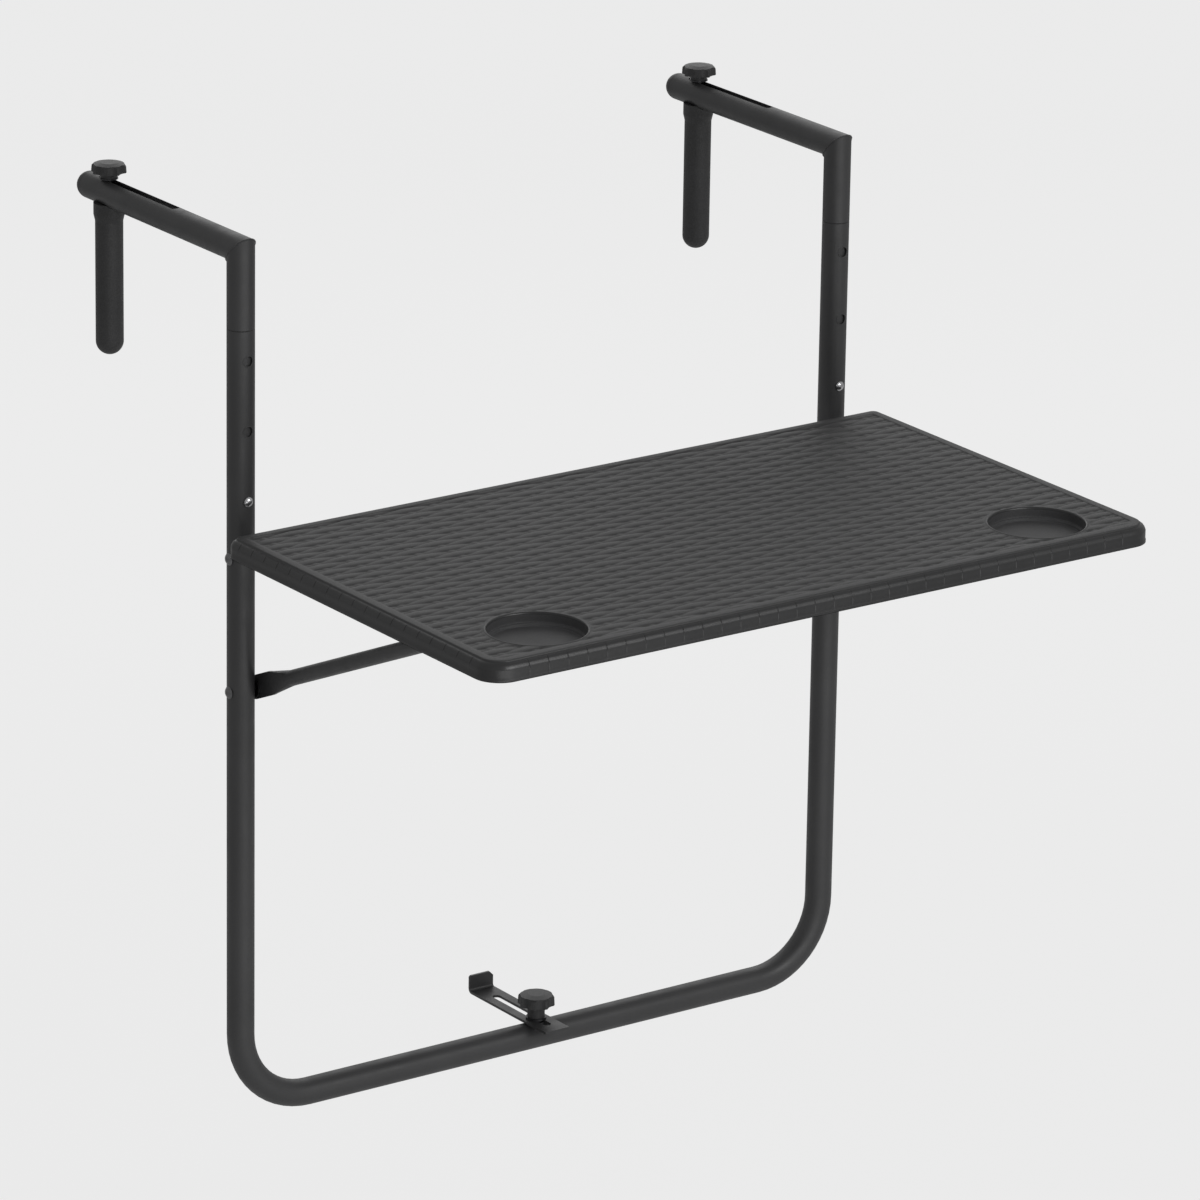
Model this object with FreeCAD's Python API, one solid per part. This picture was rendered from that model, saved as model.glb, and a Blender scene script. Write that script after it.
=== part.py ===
import FreeCAD, Part
import math
import os

# Balcony railing bar table: a folding top on a tube frame that hangs from a railing by two hooks.
# Origin: the inner corner of the hooks, where the top front edge of the railing sits,
# midway between the hooks. +X runs along the railing, +Y towards the balcony's outside
# (over the railing), +Z up. Lengths are millimetres.

V = FreeCAD.Vector
X_DIR = V(1, 0, 0)
Y_DIR = V(0, 1, 0)
Z_DIR = V(0, 0, 1)
ORIGIN = V(0, 0, 0)

# Clearances
RUN_FIT = 0.06
LOOSE_FIT = 0.3
FLAT_GAP = 0.1

# Main tubes
tube_r = 10.5
tube_wall = 1.2
rim_break = 0.4
leg_inset = 27.5
frame_bend_r = 60.0
frame_length = 616.0

# Hooks
hook_drop = 60.0
neck_wall = 1.2
neck_foot = 3.5
peg_reach = 182.5
peg_travel_in = 93.0
peg_travel_out = 8.0
arm_tail = 14.2
plug_cap = 10.9
plug_spigot = 10.0
plug_wall = 2.0

# Height setting holes and sprung buttons
hole_pitch = 54.0
first_hole_drop = 23.0
hole_count = 3
button_r = 3.7
button_stand = 2.0
button_cap = 1.6
button_collar_r = 4.3
button_collar = 0.8
clip_width = 8.0
clip_strip = 0.6
clip_height = 30.0
clip_tail = 10.0
clip_foot = 1.0
clip_bow_r = 3.0

# Railing pegs and their clamping knobs
peg_r = 10.6
peg_length = 115.5
peg_horn = 3.0
peg_flare = 1.2
peg_flare_drop = 6.0
peg_flare_slope = 5.0
stud_r = 3.0
insert_r = 4.5
insert_length = 12.0
insert_recess = 0.4
peg_washer_r = 7.0
peg_washer_t = 1.0
knob_lobes = 8
peg_knob_r = 13.5
peg_knob_h = 6.5
peg_boss_r = 6.3
peg_boss_h = 4.0
knob_edge = 1.4
knob_foot_edge = 0.4
knob_draft = 0.4
knob_crown = 1.2
knob_crown_r = 6.5
knob_cover = 2.5
lobe_depth = 2.2
lobe_cut_r = 8.0

# Tabletop moulding
top_width = 600.0
top_depth = 346.0
skirt_depth = 15.0
skirt_wall = 3.0
skin = 3.5
front_corner_r = 20.0
rear_corner_r = 10.0
rim_inset = 5.0
rim_step = 1.5
rim_round = 4.4
least_corner_r = 2.0
table_gap = 11.0
table_drop = 150.0
rib_wall = 2.4
rib_depth = 7.5
cross_rib_count = 5
cross_rib_pitch = 102.0
long_rib_count = 3
long_rib_start = 104.0
long_rib_pitch = 72.0
cup_r = 36.0
cup_depth = 10.0
cup_side = 74.0
cup_front = 51.0
cup_round = 1.0

# Table hinge
fold_gap = 1.0
rivet_r = 3.0
rivet_head_r = 4.75
rivet_head_h = 2.4
washer_r = 8.0
washer_t = 1.3
plate_t = 2.0
ear_r = 9.0
flange_width = 24.0
flange_length = 44.0
flange_start = 5.0
flange_screws = 2
ear_drop = 0.9
screw_r = 2.0
screw_hole_r = 2.1
screw_head_r = 3.8
screw_head_h = 1.6
screw_edge = 0.7
screw_cross_w = 0.8
screw_length = 6.0
pilot_depth = 4.6
boss_wall = 2.4
boss_stand = 3.0

# Folding support
support_r = 6.0
support_wall = 1.0
pivot_pitch = 104.5
support_reach = 250.0
support_bend_r = 30.0
flat_width = 18.0
flat_t = 2.4
flat_length = 24.0
flat_blend = 22.0
saddle_seat = 14.5
saddle_x = 150.0
saddle_width = 44.0
saddle_half = 14.0
saddle_screw_inset = 7.0
saddle_flange_t = 2.0
saddle_front_lip = 1.0
saddle_rear_lip = 4.0

# Lower railing clamp
clamp_width = 22.0
clamp_t = 2.0
slot_front = 18.0
slot_rear = 57.0
clamp_front_margin = 11.0
clamp_rear_margin = 18.0
clamp_tab = 12.5
clamp_tab_chamfer = 3.4
clamp_tab_corner = 1.2
clamp_bend_r = 2.0
nut_r = 4.5
nut_flange_r = 6.5
nut_flange_t = 0.8
nut_length = 12.0
clamp_washer_r = 8.0
clamp_washer_t = 1.5
clamp_knob_r = 14.5
clamp_knob_h = 8.0
clamp_boss_r = 6.8
clamp_boss_h = 10.0

# Places worked out from the sizes above
tube_bore = tube_r - tube_wall
leg_x = top_width / 2 - leg_inset
post_y = -tube_r
arm_z = tube_r
rim_z = arm_z - hook_drop
top_z = rim_z - table_drop
bar_z = rim_z - frame_length
neck_r = tube_bore - LOOSE_FIT
neck_bore = neck_r - neck_wall
hole_z = [rim_z - first_hole_drop - hole_pitch * n for n in range(hole_count)]
button_z = hole_z[-1]
button_collar_front = math.sqrt(neck_bore ** 2 - button_collar_r ** 2) - FLAT_GAP
button_collar_back = button_collar_front - button_collar
neck_hole_r = button_r + 0.1
leg_hole_r = button_r + LOOSE_FIT
peg_y = post_y + peg_reach
slot_half = stud_r + LOOSE_FIT
slot_start_y = peg_y - peg_travel_in - slot_half
slot_end_y = peg_y + peg_travel_out + slot_half
arm_end_y = slot_end_y + arm_tail
peg_washer_z = arm_z + tube_r + LOOSE_FIT
peg_knob_z = peg_washer_z + peg_washer_t
insert_z = -insert_length
table_rear_y = post_y - tube_r - table_gap
table_front_y = table_rear_y - top_depth
skirt_z = top_z - skirt_depth
ledge_z = top_z - rim_step
seat_z = ledge_z - skin - boss_stand
hinge_z = skirt_z - tube_r - fold_gap
neck_end_z = hinge_z + rivet_r + neck_foot
support_pivot_z = hinge_z - pivot_pitch
leg_inner_x = leg_x - tube_r
ear_x = leg_inner_x - washer_t - FLAT_GAP
cross_z = top_z - saddle_seat - support_r
cross_y = post_y - support_reach
support_rise = cross_z - support_pivot_z
support_length = math.hypot(support_reach, support_rise)
support_angle = math.degrees(math.atan2(support_rise, support_reach))
support_x = leg_inner_x - washer_t - FLAT_GAP - support_r
cup_y = table_front_y + cup_front
cup_x = top_width / 2 - cup_side
bar_top_z = bar_z + tube_r
nut_top_z = bar_top_z + nut_flange_t
clamp_z = nut_top_z + FLAT_GAP
clamp_washer_z = clamp_z + clamp_t + FLAT_GAP
clamp_knob_z = clamp_washer_z + clamp_washer_t
bracket_near_y = table_rear_y - skirt_wall - flange_start
bracket_far_y = bracket_near_y - flange_length
bracket_screw_x = -ear_x + (plate_t + flange_width) / 2


def cylinder(radius, length, base, direction):
    return Part.makeCylinder(radius, length, base, direction)


def block(low, high):
    size = high.sub(low)
    return Part.makeBox(size.x, size.y, size.z, low)


def turned(points, centre, axis):
    """Solid of revolution. points are (radius, distance along the axis) pairs, closed on the axis."""
    outline = [V(0, -r, h) for r, h in points]
    outline.append(outline[0])
    solid = Part.Face(Part.makePolygon(outline)).revolve(ORIGIN, Z_DIR, 360)
    turn = FreeCAD.Rotation(Z_DIR, axis)
    solid.Placement = FreeCAD.Placement(centre, turn)
    return solid


def line(start, end):
    return Part.LineSegment(start, end).toShape()


def mirrored(shape):
    return shape.mirror(ORIGIN, X_DIR)


def bent_path(points, bend_r):
    """Wire through the points, with each corner rounded to bend_r."""
    edges = []
    start = points[0]
    for before, corner, after in zip(points, points[1:], points[2:]):
        into = corner.sub(before).normalize()
        out = after.sub(corner).normalize()
        turn = into.getAngle(out)
        setback = bend_r * math.tan(turn / 2)
        arc_start = corner.sub(into * setback)
        arc_end = corner.add(out * setback)
        inward = out.sub(into).normalize()
        centre = corner.add(inward * (bend_r / math.cos(turn / 2)))
        middle = centre.sub(inward * bend_r)
        edges.append(line(start, arc_start))
        edges.append(Part.Arc(arc_start, middle, arc_end).toShape())
        start = arc_end
    edges.append(line(start, points[-1]))
    return Part.Wire(edges)


def rod_along(points, bend_r, radius):
    path = bent_path(points, bend_r)
    along = points[1].sub(points[0]).normalize()
    ring = Part.Wire(Part.makeCircle(radius, points[0], along))
    return path.makePipeShell([ring], True, False)


def bent_tube(points, bend_r, radius, bore):
    first = points[0]
    last = points[-1]
    start = first.sub(points[1].sub(first).normalize())
    end = last.add(last.sub(points[-2]).normalize())
    outer = rod_along(points, bend_r, radius)
    inner = rod_along([start] + points[1:-1] + [end], bend_r, bore)
    return outer.cut(inner)


def rounded_plate(width, depth, front_r, rear_r, low_z, high_z, centre_y):
    """Upright prism with a rounded rectangular outline, centred on x = 0."""
    plate = block(V(-width / 2, centre_y - depth / 2, low_z), V(width / 2, centre_y + depth / 2, high_z))
    for corner_r, side in ((front_r, -1), (rear_r, 1)):
        corners = [e for e in plate.Edges if e.BoundBox.YLength < FLAT_GAP
                   and e.BoundBox.XLength < FLAT_GAP
                   and (e.CenterOfMass.y - centre_y) * side > 0]
        plate = plate.makeFillet(corner_r, corners)
    return plate


def slot_cutter(centre_x, y_low, y_high, z_low, z_high):
    """Round-ended slot along Y for a stud; y_low and y_high are its two ends."""
    low = z_low - 1
    height = z_high - low + 1
    body = block(V(centre_x - slot_half, y_low + slot_half, low),
                 V(centre_x + slot_half, y_high - slot_half, low + height))
    for y in (y_low + slot_half, y_high - slot_half):
        body = body.fuse(cylinder(slot_half, height, V(centre_x, y, low), Z_DIR))
    return body


def strip(width, centre_x, outline):
    """Sheet strip of the given width along X. outline is a list of points (y, z); a point that
    is followed by "arc" and two more points starts an arc through them."""
    def at(point):
        return V(centre_x - width / 2, point[0], point[1])

    edges = []
    here = outline[0]
    rest = outline[1:]
    while rest:
        if rest[0] == "arc":
            edges.append(Part.Arc(at(here), at(rest[1]), at(rest[2])).toShape())
            here = rest[2]
            rest = rest[3:]
        else:
            edges.append(line(at(here), at(rest[0])))
            here = rest[0]
            rest = rest[1:]
    edges.append(line(at(here), at(outline[0])))
    return Part.Face(Part.Wire(edges)).extrude(V(width, 0, 0))


def rivet(outer_x, inner_x, y, z):
    """Rivet along X with a domed head at both ends; outer_x and inner_x are its gripped faces."""
    grip = inner_x - outer_x
    crown_r = (rivet_head_r ** 2 + rivet_head_h ** 2) / (2 * rivet_head_h)
    half_turn = math.asin(rivet_head_r / crown_r) / 2
    bulge_r = crown_r * math.sin(half_turn)
    bulge_h = rivet_head_h - crown_r * (1 - math.cos(half_turn))
    heads = [[V(0, 0, -rivet_head_h), V(bulge_r, 0, -bulge_h), V(rivet_head_r, 0, 0)],
             [V(rivet_head_r, 0, grip), V(bulge_r, 0, grip + bulge_h), V(0, 0, grip + rivet_head_h)]]
    edges = [Part.Arc(*heads[0]).toShape(),
             line(heads[0][2], V(rivet_r, 0, 0)),
             line(V(rivet_r, 0, 0), V(rivet_r, 0, grip)),
             line(V(rivet_r, 0, grip), heads[1][0]),
             Part.Arc(*heads[1]).toShape(),
             line(heads[1][2], heads[0][0])]
    shape = Part.Face(Part.Wire(edges)).revolve(ORIGIN, Z_DIR, 360)
    shape.Placement = FreeCAD.Placement(V(outer_x, y, z), FreeCAD.Rotation(Z_DIR, X_DIR))
    return shape


def lower_frame():
    """Legs and bottom bar: one bent tube with the holes for buttons, rivets and the clamp nut."""
    points = [V(-leg_x, post_y, rim_z), V(-leg_x, post_y, bar_z),
              V(leg_x, post_y, bar_z), V(leg_x, post_y, rim_z)]
    tube = bent_tube(points, frame_bend_r, tube_r, tube_bore)
    cutters = []
    for x in (-leg_x, leg_x):
        for z in hole_z:
            cutters.append(cylinder(leg_hole_r, tube_r + 1, V(x, post_y, z), Y_DIR * -1))
        for z in (hinge_z, support_pivot_z):
            cutters.append(cylinder(rivet_r, 2 * tube_r + 2, V(x - tube_r - 1, post_y, z), X_DIR))
    cutters.append(cylinder(nut_r, tube_r + 1, V(0, post_y, bar_z), Z_DIR))
    for cutter in cutters:
        tube = tube.cut(cutter)
    rims = [e for e in tube.Edges if e.BoundBox.ZMin > rim_z - FLAT_GAP
            and e.BoundBox.XLength > 2 * tube_bore + FLAT_GAP]
    return tube.makeChamfer(rim_break, rims)


def leg_rivets(z, inner_face):
    """Left and right rivets through the legs at height z."""
    left = rivet(-leg_x - tube_r, -inner_face, post_y, z)
    return Part.makeCompound([left, mirrored(left)])


def pivot_washers():
    """Spacing washers between each leg and the piece that turns on it."""
    rings = []
    for z in (hinge_z, support_pivot_z):
        ring = cylinder(washer_r, washer_t, V(-leg_inner_x, post_y, z), X_DIR)
        ring = ring.cut(cylinder(rivet_r, washer_t, V(-leg_inner_x, post_y, z), X_DIR))
        rings += [ring, mirrored(ring)]
    return Part.makeCompound(rings)


def bar_nut():
    """Flanged nut set in the top of the bottom bar."""
    low = nut_top_z - nut_length
    shape = cylinder(nut_flange_r, nut_flange_t, V(0, post_y, bar_top_z), Z_DIR)
    shape = shape.fuse(cylinder(nut_r, nut_length, V(0, post_y, low), Z_DIR))
    return shape.cut(cylinder(stud_r + RUN_FIT, nut_length, V(0, post_y, low), Z_DIR))


def mitre_half(keep):
    """Large block on one side of the hook's mitre plane; keep is 1 for the arm, -1 for the post."""
    size = 4 * (arm_end_y + hook_drop - neck_end_z)
    half = Part.makeBox(size, size, size, V(-size / 2, -size / 2, 0))
    half.rotate(ORIGIN, X_DIR, -45 if keep > 0 else 135)
    half.translate(V(-leg_x, post_y, arm_z))
    return half


def hook_post():
    """Upright hook tube, drawn down to a neck that slides in the leg."""
    shoulder = rim_z + FLAT_GAP
    above = arm_z + 2 * tube_r
    profile = [(0, neck_end_z), (neck_r, neck_end_z), (neck_r, shoulder), (tube_r - rim_break, shoulder),
               (tube_r, shoulder + rim_break), (tube_r, above), (0, above)]
    outer = turned(profile, V(-leg_x, post_y, 0), Z_DIR)
    bore_start = shoulder + 2 * tube_wall
    inner = cylinder(tube_bore, above - bore_start, V(-leg_x, post_y, bore_start), Z_DIR)
    inner = inner.fuse(cylinder(neck_bore, bore_start - neck_end_z, V(-leg_x, post_y, neck_end_z), Z_DIR))
    post = outer.cut(inner).common(mitre_half(-1))
    return post.cut(cylinder(neck_hole_r, tube_r, V(-leg_x, post_y, button_z), Y_DIR * -1))


def hook_arm():
    """Level arm over the railing, mitred to the post and slotted for the peg's stud."""
    start = V(-leg_x, post_y - 2 * tube_r, arm_z)
    length = arm_end_y - start.y
    outer = cylinder(tube_r, length, start, Y_DIR)
    arm = outer.cut(cylinder(tube_bore, length, start, Y_DIR)).common(mitre_half(1))
    return arm.cut(slot_cutter(-leg_x, slot_start_y, slot_end_y, arm_z - tube_r, arm_z + tube_r))


def arm_plug():
    """Domed end plug pushed into the arm."""
    crown_r = (tube_r ** 2 + plug_cap ** 2) / (2 * plug_cap)
    ball = Part.makeSphere(crown_r, V(-leg_x, arm_end_y + plug_cap - crown_r, arm_z))
    cap = cylinder(tube_r, plug_cap, V(-leg_x, arm_end_y, arm_z), Y_DIR).common(ball)
    spigot = cylinder(tube_bore, plug_spigot, V(-leg_x, arm_end_y, arm_z), Y_DIR * -1)
    core_start = V(-leg_x, arm_end_y - plug_spigot, arm_z)
    core = cylinder(tube_bore - plug_wall, plug_spigot - plug_wall, core_start, Y_DIR)
    return cap.fuse(spigot).cut(core)


def snap_clip():
    """Bent leaf spring inside the neck that pushes the button out."""
    t = clip_strip
    rear = post_y + math.sqrt(neck_bore ** 2 - (clip_width / 2) ** 2) - LOOSE_FIT
    front = post_y - button_collar_back
    bow_y = rear - clip_bow_r
    low = button_z - clip_tail
    high = button_z + clip_height
    knee = button_z + button_collar_r + clip_foot
    foot = button_z - button_collar_r - clip_foot
    outline = [(rear, low), (rear, high),
               "arc", (bow_y, high + clip_bow_r), (bow_y - clip_bow_r, high),
               (front, knee), (front, foot), (front + t, foot), (front + t, knee),
               (bow_y - clip_bow_r + t, high),
               "arc", (bow_y, high + clip_bow_r - t), (rear - t, high), (rear - t, low)]
    return strip(clip_width, -leg_x, outline)


def snap_button():
    """Sprung button: a domed pin that stands out of the leg's hole, with a collar inside the neck."""
    tip = tube_r + button_stand
    crown_r = (button_r ** 2 + button_cap ** 2) / (2 * button_cap)
    pin = cylinder(button_r, tip - button_cap - button_collar_back,
                   V(-leg_x, post_y - button_collar_back, button_z), Y_DIR * -1)
    ball = Part.makeSphere(crown_r, V(-leg_x, post_y - tip + crown_r, button_z))
    dome = cylinder(button_r, button_cap, V(-leg_x, post_y - tip, button_z), Y_DIR).common(ball)
    collar_back = V(-leg_x, post_y - button_collar_back, button_z)
    return pin.fuse(dome).fuse(cylinder(button_collar_r, button_collar, collar_back, Y_DIR * -1))


def peg():
    """Drop peg: a round-ended moulding whose flared top is hollowed to fit under the arm."""
    flare_r = peg_r + peg_flare
    round_z = peg_r - peg_length
    outline = [(0, round_z), (peg_r, round_z), (peg_r, -peg_flare_drop - peg_flare_slope),
               (flare_r, -peg_flare_drop), (flare_r, peg_horn), (0, peg_horn)]
    body = turned(outline, V(-leg_x, peg_y, 0), Z_DIR)
    body = body.fuse(Part.makeSphere(peg_r, V(-leg_x, peg_y, round_z)))
    arm_room = cylinder(tube_r + LOOSE_FIT, 4 * flare_r, V(-leg_x, peg_y - 2 * flare_r, arm_z), Y_DIR)
    well = cylinder(insert_r, insert_length + peg_horn, V(-leg_x, peg_y, insert_z), Z_DIR)
    return body.cut(arm_room).cut(well)


def peg_insert():
    """Threaded bush moulded into the top of the peg."""
    height = insert_length - insert_recess
    bush = cylinder(insert_r, height, V(-leg_x, peg_y, insert_z), Z_DIR)
    return bush.cut(cylinder(stud_r + RUN_FIT, height, V(-leg_x, peg_y, insert_z), Z_DIR))


def washer(radius, thickness, centre):
    disc = cylinder(radius, thickness, centre, Z_DIR)
    return disc.cut(cylinder(stud_r, thickness, centre, Z_DIR))


def knob(radius, head_h, boss_r, boss_h, base):
    """Lobed hand knob: boss, tapered head with scallops and a low crown, blind hole for its stud."""
    high = boss_h + head_h
    top_r = radius - knob_draft
    outline = [(0, 0), (boss_r, 0), (boss_r, boss_h), (radius - knob_foot_edge, boss_h),
               (radius, boss_h + knob_foot_edge), (top_r, high - knob_edge), (top_r - knob_edge, high),
               (knob_crown_r, high + knob_crown), (0, high + knob_crown)]
    shape = turned(outline, base, Z_DIR)
    reach = radius + lobe_cut_r - lobe_depth
    for n in range(knob_lobes):
        a = math.radians(360 / knob_lobes * (n + 0.5))
        foot = base.add(V(reach * math.cos(a), reach * math.sin(a), boss_h))
        shape = shape.cut(cylinder(lobe_cut_r, head_h + knob_crown, foot, Z_DIR))
    return shape.cut(cylinder(stud_r, high - knob_cover, base, Z_DIR))


def peg_knob():
    return knob(peg_knob_r, peg_knob_h, peg_boss_r, peg_boss_h, V(-leg_x, peg_y, peg_knob_z))


def peg_stud():
    """Threaded stud from the knob down through the arm's slots into the peg."""
    low = insert_z + LOOSE_FIT
    high = peg_knob_z + peg_boss_h + peg_knob_h - knob_cover
    return cylinder(stud_r, high - low, V(-leg_x, peg_y, low), Z_DIR)


def inset_plate(inset, low_z, high_z):
    """Plate with the tabletop's outline drawn in by inset."""
    middle_y = (table_rear_y + table_front_y) / 2
    front_r = max(front_corner_r - inset, least_corner_r)
    rear_r = max(rear_corner_r - inset, least_corner_r)
    width = top_width - 2 * inset
    depth = top_depth - 2 * inset
    return rounded_plate(width, depth, front_r, rear_r, low_z, high_z, middle_y)


def tabletop_shell():
    """Top skin with its raised field, stepped rim and hanging skirt."""
    outer = inset_plate(0, skirt_z, ledge_z)
    rim_edges = [e for e in outer.Edges if e.BoundBox.ZMin > ledge_z - FLAT_GAP]
    outer = outer.makeFillet(rim_round, rim_edges)
    field = inset_plate(rim_inset, ledge_z - skin, top_z)
    hollow = inset_plate(skirt_wall, skirt_z - 1, ledge_z - skin)
    field_hollow = inset_plate(rim_inset + skin, skirt_z - 1, top_z - skin)
    return outer.fuse(field).cut(hollow).cut(field_hollow)


def tabletop_ribs():
    """Grid of stiffening ribs under the skin."""
    high = ledge_z - skin
    low = top_z - rib_depth
    half_x = top_width / 2 - skirt_wall
    y_rear = table_rear_y - skirt_wall
    y_front = table_front_y + skirt_wall
    half_w = rib_wall / 2
    ribs = []
    for n in range(long_rib_count):
        y = table_rear_y - long_rib_start - n * long_rib_pitch
        ribs.append(block(V(-half_x, y - half_w, low), V(half_x, y + half_w, top_z - skin)))
    for n in range(cross_rib_count):
        x = (n - (cross_rib_count - 1) / 2) * cross_rib_pitch
        ribs.append(block(V(x - half_w, y_front, low), V(x + half_w, y_rear, top_z - skin)))
    margin = inset_plate(skirt_wall / 2, low, high)
    core = inset_plate(rim_inset + skin / 2, low, top_z - skin)
    bounds = margin.fuse(core)
    return [rib.common(bounds) for rib in ribs]


def bracket_screw_places():
    """Left bracket screws, as (x, y)."""
    pitch = flange_length / flange_screws
    return [(bracket_screw_x, bracket_near_y - pitch * (n + 0.5)) for n in range(flange_screws)]


def saddle_screw_places():
    """Left saddle screws, as (x, y)."""
    offset = saddle_width / 2 - saddle_screw_inset
    return [(-saddle_x - offset, cross_y), (-saddle_x + offset, cross_y)]


def tabletop():
    """Moulded top: shell, ribs, screw bosses and the two cup wells."""
    shape = tabletop_shell()
    for rib in tabletop_ribs():
        shape = shape.fuse(rib)
    floor_z = top_z - cup_depth
    screws = bracket_screw_places() + saddle_screw_places()
    screws = screws + [(-x, y) for x, y in screws]
    for x, y in screws:
        shape = shape.fuse(cylinder(screw_r + boss_wall, top_z - skin - seat_z, V(x, y, seat_z), Z_DIR))
    for x in (-cup_x, cup_x):
        shape = shape.fuse(cylinder(cup_r + skirt_wall, cup_depth, V(x, cup_y, floor_z - skirt_wall), Z_DIR))
    flare_r = cup_r + cup_round
    well = [(0, -cup_depth), (cup_r, -cup_depth), (cup_r, -cup_round), (flare_r, 0), (flare_r, 1), (0, 1)]
    for x in (-cup_x, cup_x):
        shape = shape.cut(turned(well, V(x, cup_y, top_z), Z_DIR))
    for x, y in screws:
        shape = shape.cut(cylinder(screw_r, pilot_depth, V(x, y, seat_z), Z_DIR))
    return shape.removeSplitter()


def hinge_bracket():
    """Steel angle under the top's rear corner, with the ear that turns on the leg's rivet."""
    under_skirt = skirt_z - ear_drop
    outline = [(bracket_far_y, seat_z), (bracket_near_y, seat_z), (bracket_near_y, under_skirt),
               (post_y, under_skirt), (post_y, hinge_z - ear_r),
               (bracket_near_y, hinge_z), (bracket_far_y, seat_z - plate_t)]
    ear_middle = -ear_x + plate_t / 2
    shape = strip(plate_t, ear_middle, outline)
    shape = shape.fuse(cylinder(ear_r, plate_t, V(-ear_x, post_y, hinge_z), X_DIR))
    shape = shape.fuse(block(V(-ear_x, bracket_far_y, seat_z - plate_t),
                             V(-ear_x + flange_width, bracket_near_y, seat_z)))
    for x, y in bracket_screw_places():
        shape = shape.cut(cylinder(screw_hole_r, plate_t, V(x, y, seat_z - plate_t), Z_DIR))
    return shape.cut(cylinder(rivet_r + RUN_FIT, plate_t, V(-ear_x, post_y, hinge_z), X_DIR))


def pan_screw(x, y, seat):
    """Pan head screw driven upwards; seat is the level of the face under its head."""
    low = seat - screw_head_h
    outline = [(0, -screw_head_h), (screw_head_r - screw_edge, -screw_head_h),
               (screw_head_r, screw_edge - screw_head_h), (screw_head_r, 0), (0, 0)]
    head = turned(outline, V(x, y, seat), Z_DIR)
    shank = cylinder(screw_r, screw_length, V(x, y, seat), Z_DIR)
    arm = screw_head_r / 2
    half_w = screw_cross_w / 2
    top = low + screw_edge
    recess = block(V(x - arm, y - half_w, low), V(x + arm, y + half_w, top))
    recess = recess.fuse(block(V(x - half_w, y - arm, low), V(x + half_w, y + arm, top)))
    return head.fuse(shank).cut(recess)


def screw_set(places, seat):
    left = [pan_screw(x, y, seat) for x, y in places]
    return Part.makeCompound(left + [mirrored(s) for s in left])


def support_saddle():
    """Moulded seat under the top that holds the support's cross tube."""
    flange_z = seat_z - saddle_flange_t
    half_x = saddle_width / 2
    core = half_x - 2 * saddle_screw_inset
    crown_z = cross_z + support_r
    shape = block(V(-saddle_x - half_x, cross_y - saddle_half, flange_z),
                  V(-saddle_x + half_x, cross_y + saddle_half, seat_z))
    shape = shape.fuse(block(V(-saddle_x - core, cross_y - saddle_half, crown_z - saddle_front_lip),
                             V(-saddle_x + core, cross_y, seat_z)))
    shape = shape.fuse(block(V(-saddle_x - core, cross_y, crown_z - saddle_rear_lip),
                             V(-saddle_x + core, cross_y + saddle_half, seat_z)))
    groove_start = V(-saddle_x - half_x, cross_y, cross_z)
    shape = shape.cut(cylinder(support_r + LOOSE_FIT, saddle_width, groove_start, X_DIR))
    for x, y in saddle_screw_places():
        shape = shape.cut(cylinder(screw_hole_r, saddle_flange_t, V(x, y, flange_z), Z_DIR))
    return shape


def support_bar():
    """Bent support tube: two arms with flattened ends on the leg rivets and a cross tube in front."""
    blend_end = flat_length + flat_blend
    points = [V(-support_x, -blend_end, 0), V(-support_x, -support_length, 0),
              V(support_x, -support_length, 0), V(support_x, -blend_end, 0)]
    tube = bent_tube(points, support_bend_r, support_r, support_r - support_wall)
    flat_x = -(support_x + support_r - flat_t / 2)
    left = flattened_end(flat_x)
    shape = tube.fuse(left).fuse(mirrored(left))
    shape.rotate(ORIGIN, X_DIR, -support_angle)
    shape.translate(V(0, post_y, support_pivot_z))
    for side in (-1, 1):
        hole_start = V(side * flat_x - flat_t, post_y, support_pivot_z)
        shape = shape.cut(cylinder(rivet_r + RUN_FIT, 2 * flat_t, hole_start, X_DIR))
    return shape


def flattened_end(flat_x):
    """Pressed end of one arm, drawn level along Y with its rivet hole at y = 0."""
    face_x = flat_x - flat_t / 2
    half_w = flat_width / 2
    plate = block(V(face_x, -flat_length, -half_w), V(face_x + flat_t, 0, half_w))
    plate = plate.fuse(cylinder(half_w, flat_t, V(face_x, 0, 0), X_DIR))
    return plate.fuse(Part.makeLoft([press_section(flat_x), round_section()], True, True))


def press_section(flat_x):
    """Flat rectangle where the pressed end begins to swell."""
    y = -flat_length
    half_t = flat_t / 2
    half_w = flat_width / 2
    corners = [V(flat_x - half_t, y, -half_w), V(flat_x + half_t, y, -half_w),
               V(flat_x + half_t, y, half_w), V(flat_x - half_t, y, half_w)]
    return Part.makePolygon(corners + corners[:1])


def round_section():
    """Full circle of the tube, split at the same four corners as the pressed section."""
    y = -flat_length - flat_blend

    def rim(degrees):
        a = math.radians(degrees)
        return V(-support_x + support_r * math.cos(a), y, support_r * math.sin(a))

    turns = [225, 270, 315, 0, 45, 90, 135, 180, 225]
    arcs = [Part.Arc(rim(turns[n]), rim(turns[n + 1]), rim(turns[n + 2])).toShape() for n in (0, 2, 4, 6)]
    return Part.Wire(arcs)


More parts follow.
